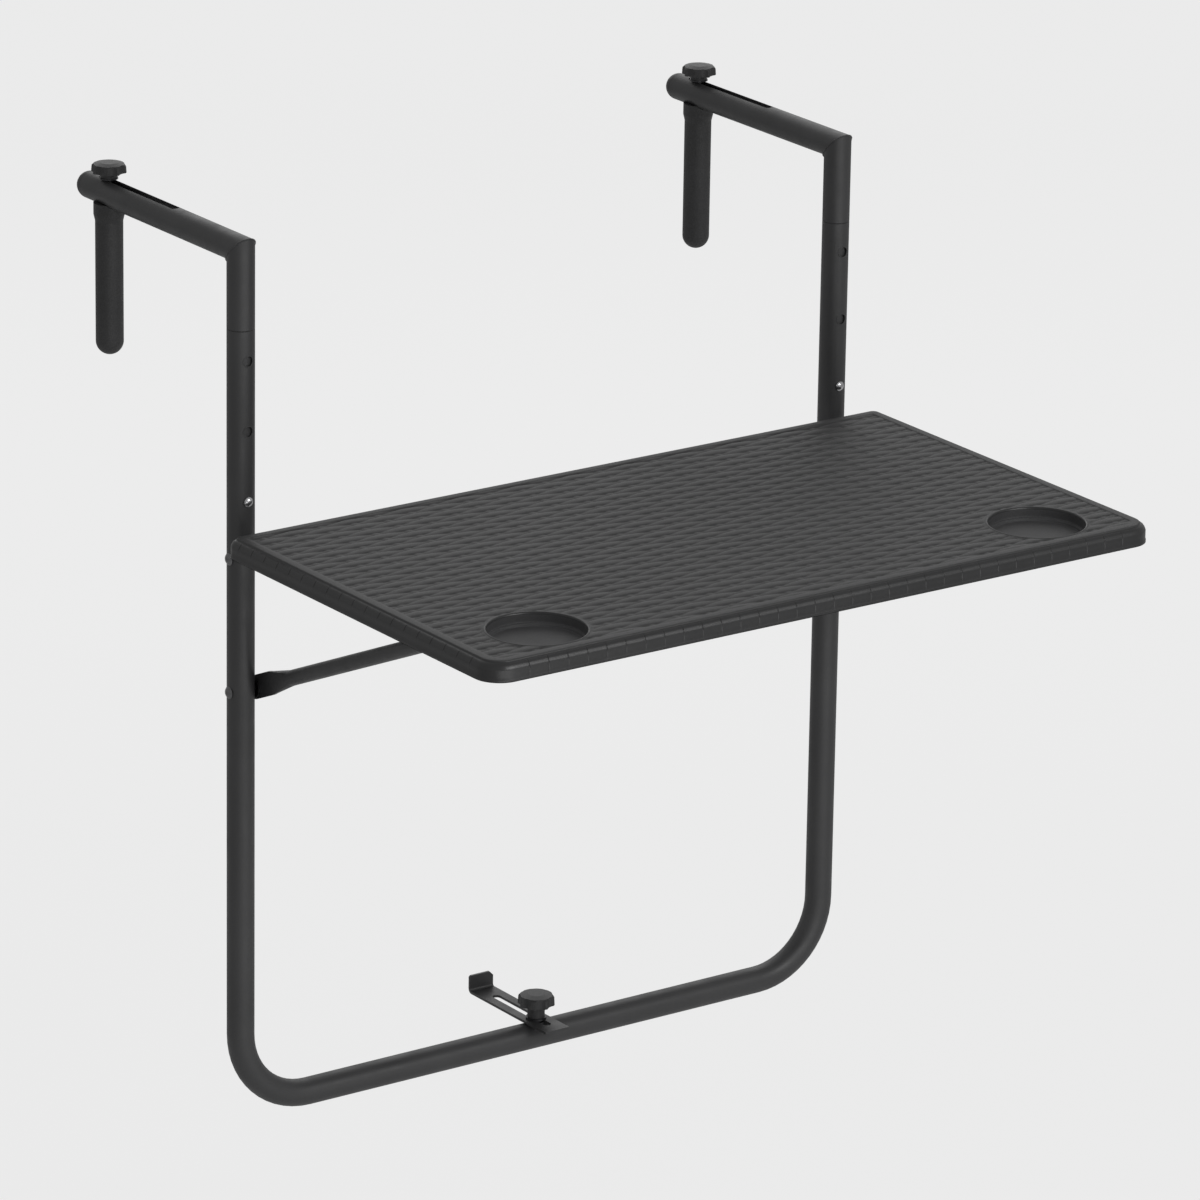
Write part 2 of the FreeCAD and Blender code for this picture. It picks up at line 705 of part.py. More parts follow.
def clamp_plate():
    """Slotted strip on the bottom bar with an upturned tab that hooks behind the railing."""
    low = clamp_z
    high = clamp_z + clamp_t
    top = high + clamp_tab
    front_y = post_y - slot_front - clamp_front_margin
    tab_y = post_y + slot_rear + clamp_rear_margin
    outer_r = clamp_bend_r + clamp_t
    bend_y = tab_y - clamp_bend_r
    bend_z = high + clamp_bend_r
    slant = math.sqrt(0.5)
    outline = [(front_y, low), (bend_y, low),
               "arc", (bend_y + outer_r * slant, bend_z - outer_r * slant), (bend_y + outer_r, bend_z),
               (tab_y + clamp_t, top), (tab_y, top), (tab_y, bend_z),
               "arc", (bend_y + clamp_bend_r * slant, bend_z - clamp_bend_r * slant), (bend_y, high),
               (front_y, high)]
    shape = strip(clamp_width, 0, outline)
    shape = shape.cut(slot_cutter(0, post_y - slot_front, post_y + slot_rear, low, high))
    for side, cut in ((-1, clamp_tab_corner), (1, clamp_tab_chamfer)):
        edge = side * clamp_width / 2
        corner = [V(edge, tab_y, top), V(edge - side * cut, tab_y, top),
                  V(edge, tab_y, top - cut), V(edge, tab_y, top)]
        shape = shape.cut(Part.Face(Part.makePolygon(corner)).extrude(V(0, clamp_t, 0)))
    return shape


def clamp_knob():
    return knob(clamp_knob_r, clamp_knob_h, clamp_boss_r, clamp_boss_h, V(0, post_y, clamp_knob_z))


def clamp_stud():
    low = nut_top_z - nut_length
    high = clamp_knob_z + clamp_boss_h + clamp_knob_h - knob_cover
    return cylinder(stud_r, high - low, V(0, post_y, low), Z_DIR)


def both_sides(name, shape):
    """Left piece as drawn and its mirror image on the right."""
    return {name + "_left": shape, name + "_right": mirrored(shape)}


def all_pieces():
    inner_head = ear_x - plate_t - FLAT_GAP
    support_head = ear_x - flat_t - FLAT_GAP
    pieces = {
        "lower_frame": lower_frame(),
        "table_rivets": leg_rivets(hinge_z, inner_head),
        "support_rivets": leg_rivets(support_pivot_z, support_head),
        "pivot_washers": pivot_washers(),
        "bar_nut": bar_nut(),
        "tabletop": tabletop(),
        "bracket_screws": screw_set(bracket_screw_places(), seat_z - plate_t),
        "saddle_screws": screw_set(saddle_screw_places(), seat_z - saddle_flange_t),
        "support_bar": support_bar(),
        "clamp_plate": clamp_plate(),
        "clamp_washer": washer(clamp_washer_r, clamp_washer_t, V(0, post_y, clamp_washer_z)),
        "clamp_knob": clamp_knob(),
        "clamp_stud": clamp_stud(),
    }
    paired = {
        "hook_post": hook_post(),
        "hook_arm": hook_arm(),
        "arm_plug": arm_plug(),
        "snap_clip": snap_clip(),
        "snap_button": snap_button(),
        "peg": peg(),
        "peg_insert": peg_insert(),
        "peg_washer": washer(peg_washer_r, peg_washer_t, V(-leg_x, peg_y, peg_washer_z)),
        "peg_knob": peg_knob(),
        "peg_stud": peg_stud(),
        "hinge_bracket": hinge_bracket(),
        "support_saddle": support_saddle(),
    }
    for name, shape in paired.items():
        pieces.update(both_sides(name, shape))
    return pieces


os.makedirs("parts", exist_ok=True)
for node, shape in all_pieces().items():
    shape.exportStep("parts/" + node + ".step")
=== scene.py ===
import math

import bmesh
import bpy
import numpy as np
from mathutils import Matrix, Vector


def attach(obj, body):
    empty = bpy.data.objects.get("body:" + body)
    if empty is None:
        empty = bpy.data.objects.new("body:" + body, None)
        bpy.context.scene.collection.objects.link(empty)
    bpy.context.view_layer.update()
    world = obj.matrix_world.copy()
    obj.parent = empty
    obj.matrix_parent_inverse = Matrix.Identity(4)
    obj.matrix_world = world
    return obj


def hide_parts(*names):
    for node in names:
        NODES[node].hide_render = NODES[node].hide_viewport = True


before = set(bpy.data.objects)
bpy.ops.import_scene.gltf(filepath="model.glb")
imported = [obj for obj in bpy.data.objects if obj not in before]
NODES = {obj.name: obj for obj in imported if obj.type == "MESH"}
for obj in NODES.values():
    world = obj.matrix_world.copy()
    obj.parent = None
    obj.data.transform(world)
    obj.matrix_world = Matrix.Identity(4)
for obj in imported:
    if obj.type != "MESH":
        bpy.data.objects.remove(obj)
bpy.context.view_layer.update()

MM = 0.001
SIDES = {-1: "left", 1: "right"}

# Sizes in mm, in the row frame

# Hooks and legs
POST_X = 272.5
POST_Y = -10.5
ARM_Z = 10.5
TUBE_R = 10.5
HOLE_R = 4.0
HOLE_Z = (-72.5, -126.5, -180.5)

# Top, as in the CAD
TOP_HALF_X = 300.0
TOP_REAR = -32.0
TOP_FRONT = -378.0
TOP_MIDDLE_Y = (TOP_REAR + TOP_FRONT) / 2
TOP_HALF_Y = (TOP_REAR - TOP_FRONT) / 2
TOP_Z = -199.5
FRONT_R = 20.0
REAR_R = 10.0
STEP_DROP = 1.5
ROUND_R = 4.4
CUP_X = 226.0
CUP_Y = -327.0
CUP_R = 36.0
CUP_MOUTH_R = CUP_R + 1.05
CUP_DEPTH = 10.0

# Weave: strands along x over stakes along y, with heights from the strands' crests
WEAVE_PERIOD = 50.4
WEAVE_Y = -21.5
STRAND_PITCH = 7.0
STRAND_RISE = 0.6
STRAND_CROWN = 1.5
STRAND_HALF_W = 4.7
STRAND_SWELL = 0.25
STAKE_LEVEL = -0.95
STAKE_RISE = 0.2
STAKE_CROWN = 1.2
STAKE_HALF_W = 4.2
CROWN_SIDE_SLOPE = 3
WEAVE_FLOOR = -2.4
# Depth below the crests at which the weave's painted recess shade is darkest
DARKEST_DROP = 2.0

# Woven field, which sinks to a level edge at the rim and at the cups
FIELD_INSET = 11.0
FIELD_CUP_R = CUP_R + 1.6
FIELD_STEP_X = 1.2
FIELD_STEP_Y = 0.7
FIELD_RIM_FADE = (0.9, 2.2)
FIELD_RIM_LEVEL = -0.3
FIELD_CUP_FADE = (0.6, 3.6)
FIELD_CUP_LEVEL = -0.2
FIELD_CUP_SNAP = 3

# Rim's notches: offset along the edge and share of the depth. The flat stations
# beside each notch keep its shading narrow.
NOTCH_PITCH = 16.7
NOTCH_DEPTH = 0.42
NOTCH_REACH = 6
NOTCH = (
    (-NOTCH_REACH, 0), (-0.8, 0), (-0.6, 0), (-0.3, 0.8), (0, 1),
    (0.3, 0.8), (0.6, 0), (0.8, 0), (NOTCH_REACH, 0),
)
NOTCH_SINK = 0.3
NOTCH_TOP = (1.6, 2.4)
NOTCH_FADE = 1.5
FRONT_NOTCH_FOOT = 12.6
SIDE_NOTCH_FOOT = 6.5
NOTCH_CORNER_GAP = 4

CORNER_STEPS = 12
CUP_STEPS = 120
LEAST_R = 0.5
SHARP_ANGLE = 40
MERGE_DISTANCE = 0.002

# Weld beads at the mitres, larger in the inner corner and lower on the outer one
WELD_STEPS = 240
WELD_LEG = 1.0
WELD_INNER_LEG = 2.2
WELD_CREST = 0.36
WELD_OUTER_CUT = 0.28
WELD_INNER_FILL = 0.27
WELD_ROOT = 0.3
WELD_TOE = 0.03

# Lips of the height holes
LIP_STEPS = 40
LIP_SECTION = 8
LIP_OFFSET = 0.15
LIP_HALF_W = 0.4
LIP_HEIGHT = 0.26

# Range that Blender's noise mostly keeps to
NOISE_LOW = 0.3
NOISE_HIGH = 0.7


# Node helpers


class Shader:
    """A procedural material, with short calls for the nodes that it uses."""

    def __init__(self, name):
        self.material = bpy.data.materials.new(name)
        self.material.use_nodes = True
        self.tree = self.material.node_tree
        self.tree.nodes.clear()
        self.out = self.tree.nodes.new("ShaderNodeOutputMaterial")
        self.surface = self.tree.nodes.new("ShaderNodeBsdfPrincipled")
        self.link(self.surface.outputs[0], self.out.inputs["Surface"])
        self.place = self.tree.nodes.new("ShaderNodeTexCoord").outputs["Object"]

    def link(self, source, target):
        self.tree.links.new(source, target)

    def set(self, **values):
        for name, value in values.items():
            self.surface.inputs[name.replace("_", " ")].default_value = value

    def noise(self, size, detail=2.0, stretch=(1, 1, 1), roughness=0.5):
        """Noise whose features are about size metres across."""
        mapping = self.tree.nodes.new("ShaderNodeMapping")
        mapping.inputs["Scale"].default_value = [1 / (size * s) for s in stretch]
        self.link(self.place, mapping.inputs["Vector"])
        node = self.tree.nodes.new("ShaderNodeTexNoise")
        node.inputs["Scale"].default_value = 1.0
        node.inputs["Detail"].default_value = detail
        node.inputs["Roughness"].default_value = roughness
        self.link(mapping.outputs[0], node.inputs["Vector"])
        return node.outputs["Fac"]

    def ramp(self, source, stops):
        """Colours by the value of source; stops are (position, colour) pairs."""
        node = self.tree.nodes.new("ShaderNodeValToRGB")
        ramp = node.color_ramp
        while len(ramp.elements) < len(stops):
            ramp.elements.new(0.5)
        for element, (position, colour) in zip(ramp.elements, stops):
            element.position = position
            element.color = (*colour, 1)
        self.link(source, node.inputs["Fac"])
        return node.outputs["Color"]

    def tones(self, source, tone, low, high, tint=0.0):
        """Greys from low to high times tone, over the range of a noise."""
        stops = [(NOISE_LOW, grey(tone * low, tint)), (NOISE_HIGH, grey(tone * high, tint))]
        return self.ramp(source, stops)

    def span(self, source, low, high, start=NOISE_LOW, end=NOISE_HIGH):
        """Maps start to end of source onto low to high."""
        node = self.tree.nodes.new("ShaderNodeMapRange")
        names = ("From Min", "From Max", "To Min", "To Max")
        for name, value in zip(names, (start, end, low, high)):
            node.inputs[name].default_value = value
        self.link(source, node.inputs["Value"])
        return node.outputs["Result"]

    def math(self, operation, first, second):
        node = self.tree.nodes.new("ShaderNodeMath")
        node.operation = operation
        for socket, value in zip(node.inputs, (first, second)):
            if isinstance(value, (int, float)):
                socket.default_value = value
            else:
                self.link(value, socket)
        return node.outputs[0]

    def multiply(self, first, second):
        """Product of two colours."""
        node = self.tree.nodes.new("ShaderNodeMix")
        node.data_type = "RGBA"
        node.blend_type = "MULTIPLY"
        sockets = {socket.identifier: socket for socket in node.inputs}
        sockets["Factor_Float"].default_value = 1.0
        self.link(first, sockets["A_Color"])
        self.link(second, sockets["B_Color"])
        return next(s for s in node.outputs if s.identifier == "Result_Color")

    def attribute(self, name):
        node = self.tree.nodes.new("ShaderNodeAttribute")
        node.attribute_name = name
        return node.outputs["Fac"]

    def colour(self, source):
        self.link(source, self.surface.inputs["Base Color"])

    def rough(self, source):
        self.link(source, self.surface.inputs["Roughness"])

    def bump(self, *layers):
        """layers are (height output, height in metres) pairs, coarse first."""
        normal = None
        for source, height in layers:
            node = self.tree.nodes.new("ShaderNodeBump")
            node.inputs["Strength"].default_value = 1.0
            node.inputs["Distance"].default_value = height
            self.link(source, node.inputs["Height"])
            if normal is not None:
                self.link(normal, node.inputs["Normal"])
            normal = node.outputs["Normal"]
        self.link(normal, self.surface.inputs["Normal"])


def grey(value, tint=0.0):
    """Linear grey, its blue raised by the share tint."""
    return (value, value, value * (1 + tint))


# Materials, one per slot. Sizes of grain and heights of bump are in metres.


def powder_coat(name, tone, rough=(0.42, 0.54)):
    """Satin powder coat: orange peel and a slow drift of tone and gloss."""
    s = Shader(name)
    s.set(Metallic=0.0, Specular_IOR_Level=0.5)
    drift = s.noise(0.06, detail=3)
    grain = s.noise(0.0007)
    mixed = s.math("ADD", s.math("MULTIPLY", drift, 0.7), s.math("MULTIPLY", grain, 0.3))
    s.colour(s.tones(mixed, tone, 0.86, 1.16, 0.03))
    s.rough(s.span(s.noise(0.018, detail=4), *rough))
    orange_peel = s.noise(0.0016, detail=1)
    s.bump((orange_peel, 0.00005), (grain, 0.000018))
    return s.material


def matte_moulding(name, tone, grain_size, grain_height, rough=(0.55, 0.7)):
    """Matte moulded plastic with a sand texture from its tool."""
    s = Shader(name)
    s.set(Metallic=0.0, Specular_IOR_Level=0.45)
    grain = s.noise(grain_size, detail=3, roughness=0.6)
    tones = s.tones(s.noise(0.03, detail=3), tone, 0.88, 1.12, 0.03)
    specks = s.ramp(grain, [(0.35, grey(0.72)), (0.62, grey(1.0)), (0.75, grey(1.35))])
    s.colour(s.multiply(tones, specks))
    s.rough(s.span(grain, rough[1], rough[0], 0.35, 0.65))
    s.bump((s.noise(grain_size * 6), grain_height * 1.5), (grain, grain_height))
    return s.material


def woven_moulding(name, tone):
    """The top's moulded weave: fine lengthwise fibres, with painted shade in its recesses and
    its crests painted slightly lighter.
    """
    s = Shader(name)
    s.set(Metallic=0.0, Specular_IOR_Level=0.35)
    fibre = s.noise(0.0006, stretch=(14, 1, 1))
    grain = s.noise(0.0005)
    tones = s.tones(s.noise(0.09, detail=3), tone, 0.92, 1.08, 0.02)
    streaks = s.tones(fibre, 1.0, 0.84, 1.14)
    # Recess depth of each point, 0 on the crests to 1 deep down; it is used only to paint shade
    # into the colour
    recess = s.attribute("recess")
    # Painted shade: the colour darkens with recess depth, and the crests are lightened by a
    # tenth
    shade = s.ramp(recess, [(0.0, grey(1.1)), (0.45, grey(0.75)), (0.9, grey(0.2))])
    s.colour(s.multiply(s.multiply(tones, streaks), shade))
    s.rough(s.span(grain, 0.52, 0.68))
    s.bump((fibre, 0.00008), (grain, 0.00002))
    return s.material


def brushed_metal(name, tone, rough, tint=0.02):
    """Bare or plated metal with fine brushing and a few dull patches."""
    s = Shader(name)
    s.set(Metallic=1.0)
    brush = s.noise(0.0004, stretch=(1, 1, 12))
    patch = s.noise(0.006, detail=3)
    tones = s.tones(patch, tone, 0.8, 1.1, tint)
    streaks = s.tones(brush, 1.0, 0.85, 1.1)
    s.colour(s.multiply(tones, streaks))
    s.rough(s.span(patch, rough + 0.1, rough))
    s.bump((brush, 0.00001))
    return s.material


def brass(name):
    """Turned brass with duller patches."""
    s = Shader(name)
    s.set(Metallic=1.0)
    patch = s.noise(0.003, detail=3)
    s.colour(s.ramp(patch, [(NOISE_LOW, (0.5, 0.36, 0.15)), (NOISE_HIGH, (0.72, 0.55, 0.28))]))
    s.rough(s.span(patch, 0.42, 0.28))
    s.bump((s.noise(0.0003, stretch=(1, 1, 8)), 0.00001))
    return s.material


FINISH = {
    "frame_tube": powder_coat("frame_tube_finish", 0.031),
    "support_tube": powder_coat("support_tube_finish", 0.023, (0.38, 0.5)),
    "bracket_steel": powder_coat("bracket_steel_finish", 0.026, (0.4, 0.52)),
    "end_plug": matte_moulding(
        "end_plug_finish", 0.026, 0.0004, 0.00002, (0.42, 0.55)),
    "peg_moulding": matte_moulding(
        "peg_moulding_finish", 0.026, 0.0011, 0.00012, (0.46, 0.62)),
    "knob_moulding": matte_moulding(
        "knob_moulding_finish", 0.022, 0.0005, 0.00003, (0.44, 0.56)),
    "saddle_moulding": matte_moulding(
        "saddle_moulding_finish", 0.022, 0.0006, 0.00003),
    "top_moulding": matte_moulding(
        "top_moulding_finish", 0.02, 0.0005, 0.00003, (0.32, 0.4)),
    "rivet_steel": brushed_metal("rivet_steel_finish", 0.16, 0.24),
    "button_steel": brushed_metal("button_steel_finish", 0.55, 0.16),
    "zinc_steel": brushed_metal("zinc_steel_finish", 0.06, 0.36, 0.05),
    "spring_steel": brushed_metal("spring_steel_finish", 0.3, 0.34, 0.12),
    "insert_brass": brass("insert_brass_finish"),
}
WOVEN = woven_moulding("top_weave_finish", 0.033)
# Wells' finish: rougher than the top's moulding, and lighter in colour, which paints light onto
# the shaded walls and floors of the wells
CUP_LIGHTENED_FINISH = matte_moulding("cup_lightened_finish", 0.05, 0.0005, 0.00003, (0.6, 0.72))

for node in NODES.values():
    slot = node.data.materials[0].name.split(".")[0]
    node.data.materials.clear()
    node.data.materials.append(FINISH[slot])


# Mesh helpers


def add_piece(name, points, faces, materials, body, face_material=None):
    """A smooth-shaded mesh object from points in mm, riding on a body."""
    mesh = bpy.data.meshes.new(name)
    points = np.asarray(points, float) * MM
    mesh.from_pydata(points.tolist(), [], [list(f) for f in faces])
    for material in materials:
        mesh.materials.append(material)
    if face_material is not None:
        mesh.polygons.foreach_set("material_index", np.asarray(face_material, np.int32))
    mesh.polygons.foreach_set("use_smooth", np.full(len(mesh.polygons), True))
    mesh.update()
    piece = bpy.data.objects.new(name, mesh)
    bpy.context.scene.collection.objects.link(piece)
    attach(piece, body)
    return piece


def strip_faces(rows, columns, around=False):
    """Quads of a grid of points. Its last row joins its first, and around joins its columns."""
    faces = []
    for i in range(rows):
        below = (i + 1) % rows
        for j in range(columns if around else columns - 1):
            beside = (j + 1) % columns
            faces.append((i * columns + j, i * columns + beside,
                          below * columns + beside, below * columns + j))
    return faces


def smooth_step(value, start, end):
    t = np.clip((value - start) / (end - start), 0, 1)
    return t * t * (3 - 2 * t)


def heading(degrees):
    turn = math.radians(degrees)
    return Vector((math.cos(turn), math.sin(turn)))


# Tabletop


def edge_distance(x, y):
    """How far inside the top's rounded outline a point lies, in mm."""
    radius = np.where(y > TOP_MIDDLE_Y, REAR_R, FRONT_R)
    reach_x = np.abs(x) - (TOP_HALF_X - radius)
    reach_y = np.abs(y - TOP_MIDDLE_Y) - (TOP_HALF_Y - radius)
    outside = np.hypot(np.maximum(reach_x, 0), np.maximum(reach_y, 0))
    return radius - outside - np.minimum(np.maximum(reach_x, reach_y), 0)


def cup_distance(x, y):
    """How far a point lies from the axis of the nearer cup."""
    return np.hypot(np.abs(x) - CUP_X, y - CUP_Y)


def soft_max(first, second, width=0.18):
    """The greater of two heights, rounded over width where they cross."""
    blend = np.clip(0.5 + (first - second) / (2 * width), 0, 1)
    return second + (first - second) * blend + width * blend * (1 - blend)


def crown(offset, half_width, height):
    """Drop of a rounded section at an offset from its middle, steep past its edge."""
    t = np.abs(offset) / half_width
    inside = 1 - np.sqrt(np.maximum(1 - np.minimum(t, 1) ** 2, 0))
    return -height * (inside + CROWN_SIDE_SLOPE * np.maximum(t - 1, 0))


def weave_height(x, y):
    """Relief of the basket weave in mm, with its crests at zero."""
    row = np.round((y - WEAVE_Y) / STRAND_PITCH)
    height = np.full(x.shape, WEAVE_FLOOR)
    for step in (-1, 0, 1):
        n = row + step
        over = np.cos(2 * np.pi * x / WEAVE_PERIOD + np.pi * n)
        level = STRAND_RISE * (over - 1)
        width = STRAND_HALF_W + STRAND_SWELL * over
        section = level + crown(y - WEAVE_Y - n * STRAND_PITCH, width, STRAND_CROWN)
        height = soft_max(height, section)
    stake = np.round(2 * x / WEAVE_PERIOD)
    under = -np.cos(np.pi * (y - WEAVE_Y) / STRAND_PITCH + np.pi * stake)
    level = STAKE_LEVEL + STAKE_RISE * under
    section = level + crown(x - stake * WEAVE_PERIOD / 2, STAKE_HALF_W, STAKE_CROWN)
    return soft_max(height, section)


def field_step(start, end, step):
    """Grid lines of the field from start, up to end itself where a line meets it."""
    return np.arange(start, end + 0.1, step)


def weave_field():
    """Points, faces and recess depth of the woven field, cut out round the cups; the recess
    depth sets the painted shade in the weave's colour.
    """
    xs = field_step(-TOP_HALF_X + FIELD_INSET, TOP_HALF_X - FIELD_INSET, FIELD_STEP_X)
    ys = field_step(TOP_FRONT + FIELD_INSET, TOP_REAR - FIELD_INSET, FIELD_STEP_Y)
    x, y = np.meshgrid(xs, ys)
    inset = edge_distance(x, y)
    reach = cup_distance(x, y)
    rise = weave_height(x, y)
    for distance, edge, fade, level in (
            (inset, FIELD_INSET, FIELD_RIM_FADE, FIELD_RIM_LEVEL),
            (reach, FIELD_CUP_R, FIELD_CUP_FADE, FIELD_CUP_LEVEL)):
        near = 1 - smooth_step(distance, edge + fade[0], edge + fade[1])
        rise = rise * (1 - near) + level * near
    # Recess depth for the painted shade: 0 at the crests, 1 at DARKEST_DROP and below
    recess = np.clip(-rise / DARKEST_DROP, 0, 1)
    inside = (inset >= FIELD_INSET) & (reach >= FIELD_CUP_R)
    whole = inside[:-1, :-1] | inside[1:, :-1] | inside[:-1, 1:] | inside[1:, 1:]
    cup_rim = (reach < FIELD_CUP_R) & (reach > FIELD_CUP_R - FIELD_CUP_SNAP)
    side = np.where(x > 0, CUP_X, -CUP_X)
    scale = np.where(cup_rim, FIELD_CUP_R / np.maximum(reach, 1e-6), 1)
    x = np.where(cup_rim, side + (x - side) * scale, x)
    y = np.where(cup_rim, CUP_Y + (y - CUP_Y) * scale, y)
    points = np.stack([x, y, TOP_Z + rise], -1).reshape(-1, 3)
    columns = len(xs)
    i, j = np.nonzero(whole)
    first = i * columns + j
    faces = np.stack([first, first + 1, first + columns + 1, first + columns], -1)
    used = np.unique(faces)
    index = np.zeros(len(points), int)
    index[used] = np.arange(len(used))
    return points[used], index[faces], recess.reshape(-1)[used]


# Border, step, roll, skirt and lip: inset from the outline and height over TOP_Z
RIM = [
    (12.4, -0.6), (12.1, -0.35), (11.8, -0.12), (11.4, 0.0), (9.0, 0.02),
    (6.2, 0.0), (5.5, -0.1), (5.1, -0.35), (4.85, -0.8), (4.6, -1.3), (4.2, -1.55),
    (3.6, -1.75), (3.0, -2.1), (2.4, -2.55), (1.95, -3.0), (1.6, -3.5), (1.15, -4.3),
    (0.75, -5.1), (0.5, -5.8), (0.4, -6.6), (0.4, -9.0), (0.4, -12.3), (0.15, -12.95),
    (0.0, -13.4), (0.0, -14.4), (0.1, -14.75), (0.4, -15.0),
]
BORDER_INSET = 5

CORNERS = ((1, -1, FRONT_R), (1, 1, REAR_R), (-1, 1, REAR_R), (-1, -1, FRONT_R))


def rim_stations():
    """Stations round the outline: place, outward direction, corner or None, notch share."""
    middle = Vector((0, TOP_MIDDLE_Y))
    corners = []
    for side_x, side_y, radius in CORNERS:
        reach = Vector((side_x * (TOP_HALF_X - radius), side_y * (TOP_HALF_Y - radius)))
        corners.append((middle + reach, Vector((side_x, side_y)), radius))
    stations = []
    for n, corner in enumerate(corners):
        for k in range(CORNER_STEPS + 1):
            outward = heading(90 * (n - 1) + 90 * k / CORNER_STEPS)
            stations.append((corner[0], outward, corner, 0.0))
        outward = heading(90 * n)
        following = corners[(n + 1) % len(corners)]
        start = corner[0] + outward * corner[2]
        end = following[0] + outward * following[2]
        length = (end - start).length
        count = int((length / 2 - NOTCH_REACH) / NOTCH_PITCH)
        for m in range(-count, count + 1):
            centre = length / 2 + m * NOTCH_PITCH
            for offset, share in NOTCH:
                if NOTCH_CORNER_GAP < centre + offset < length - NOTCH_CORNER_GAP:
                    place = start.lerp(end, (centre + offset) / length)
                    stations.append((place, outward, None, share))
    return stations


def rim_place(station, inset):
    """A station's point at an inset; past its radius a corner moves in whole."""
    place, outward, corner, _ = station
    if corner is None:
        return place - outward * inset
    _, side, radius = corner
    moved = place - side * max(0.0, inset - radius + LEAST_R)
    return moved + outward * max(radius - inset, LEAST_R)


def rim_sweep():
    """Points and faces of the rim, with its notches longer on the front side."""
    stations = rim_stations()
    points = []
    for station in stations:
        foot = FRONT_NOTCH_FOOT if station[1].y < -0.9 else SIDE_NOTCH_FOOT
        for inset, drop in RIM:
            notched = smooth_step(-drop, *NOTCH_TOP)
            notched = notched * (1 - smooth_step(-drop, foot - NOTCH_FADE, foot))
            depth = notched * station[3] * NOTCH_DEPTH
            place = rim_place(station, inset + depth)
            points.append((place.x, place.y, TOP_Z + drop - NOTCH_SINK * depth))
    return points, strip_faces(len(stations), len(RIM))


# Lip, wall, ledge and floor of a cup: radius and height over TOP_Z
WELL = [
    (38.7, -0.4), (38.4, -0.05), (37.9, 0.12), (37.3, 0.1), (36.8, -0.2), (36.4, -0.8),
    (36.2, -1.8), (36.1, -3.0), (36.0, -6.0), (35.9, -7.2), (35.7, -7.55), (35.3, -7.7),
    (34.9, -7.75), (34.5, -8.0), (34.0, -8.85), (33.9, -9.5), (33.6, -9.85),
    (33.0, -10.0), (20.0, -10.0), (8.0, -10.0), (0.5, -10.0),
]
WELL_WOVEN_STRIPS = 3
WELL_SMOOTH_STRIPS = 6


def well_points(side):
    points = []
    for k in range(CUP_STEPS):
        turn = 2 * math.pi * k / CUP_STEPS
        for radius, drop in WELL:
            x = side * CUP_X + radius * math.cos(turn)
            points.append((x, CUP_Y + radius * math.sin(turn), TOP_Z + drop))
    return points


def tabletop_underside():
    """The CAD top without the faces that the new field, rim and wells stand for."""
    mesh = NODES["tabletop"].data
    points = np.array([v.co for v in mesh.vertices]) / MM
    x, y, z = points.T
    inset = edge_distance(x, y)
    drop = z - TOP_Z
    near = 0.05
    foot = STEP_DROP + ROUND_R
    fillet = np.abs(np.hypot(inset - ROUND_R, drop + foot) - ROUND_R) < near
    fillet = fillet & (drop > -foot - 2 * near) & (inset < ROUND_R + 2 * near)
    skin = (drop > -STEP_DROP - near) | (inset < near) | fillet
    well = (cup_distance(x, y) < CUP_MOUTH_R) & (drop > -CUP_DEPTH - near)
    faces = []
    for polygon in mesh.polygons:
        corners = np.array(polygon.vertices)
        if not (skin[corners].all() or well[corners].all()):
            faces.append(corners.tolist())
    return points, faces


def sharp_edges(piece, angle):
    """Merges doubled points and marks the edges that turn by more than angle degrees."""
    work = bmesh.new()
    work.from_mesh(piece.data)
    bmesh.ops.remove_doubles(work, verts=work.verts, dist=MERGE_DISTANCE * MM)
    limit = math.radians(angle)
    for edge in work.edges:
        edge.smooth = len(edge.link_faces) == 2 and edge.calc_face_angle(0) < limit
    work.to_mesh(piece.data)
    work.free()


def moulded_tabletop():
    """One piece that stands for the CAD top: woven field, rim, wells and underside."""
    woven, smooth, cup = range(3)
    field, field_faces, recess = weave_field()
    groups = [(field, field_faces, [woven] * len(field_faces))]
    rim, rim_faces = rim_sweep()
    border = sum(inset > BORDER_INSET for inset, _ in RIM)
    kinds = [woven if n < border else smooth for n in range(len(RIM) - 1)]
    groups.append((rim, rim_faces, kinds * (len(rim_faces) // len(kinds))))
    kinds = [cup] * (len(WELL) - 1)
    kinds[:WELL_SMOOTH_STRIPS] = [smooth] * WELL_SMOOTH_STRIPS
    kinds[:WELL_WOVEN_STRIPS] = [woven] * WELL_WOVEN_STRIPS
    for side in SIDES:
        groups.append((well_points(side), strip_faces(CUP_STEPS, len(WELL)), kinds * CUP_STEPS))
    under, under_faces = tabletop_underside()
    groups.append((under, under_faces, [smooth] * len(under_faces)))
    points = []
    faces = []
    face_kinds = []
    for group_points, group_faces, group_kinds in groups:
        shift = len(points)
        points.extend(np.asarray(group_points).tolist())
        faces.extend((np.asarray(f) + shift).tolist() for f in group_faces)
        face_kinds.extend(group_kinds)
    # The wells' material is the top's plastic made lighter, painted light for the shade in the
    # wells
    materials = [WOVEN, FINISH["top_moulding"], CUP_LIGHTENED_FINISH]
    piece = add_piece(
        "moulded_tabletop", points, faces, materials, "table", face_kinds)
    # Recess depth per point, which the weave's finish turns into painted shade; zero off the
    # field
    depth = piece.data.attributes.new("recess", "FLOAT", "POINT")
    values = np.zeros(len(points), np.float32)
    values[:len(recess)] = recess
    depth.data.foreach_set("value", values)
    sharp_edges(piece, SHARP_ANGLE)
    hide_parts("tabletop")


moulded_tabletop()


# Weld beads at the hooks' mitred corners


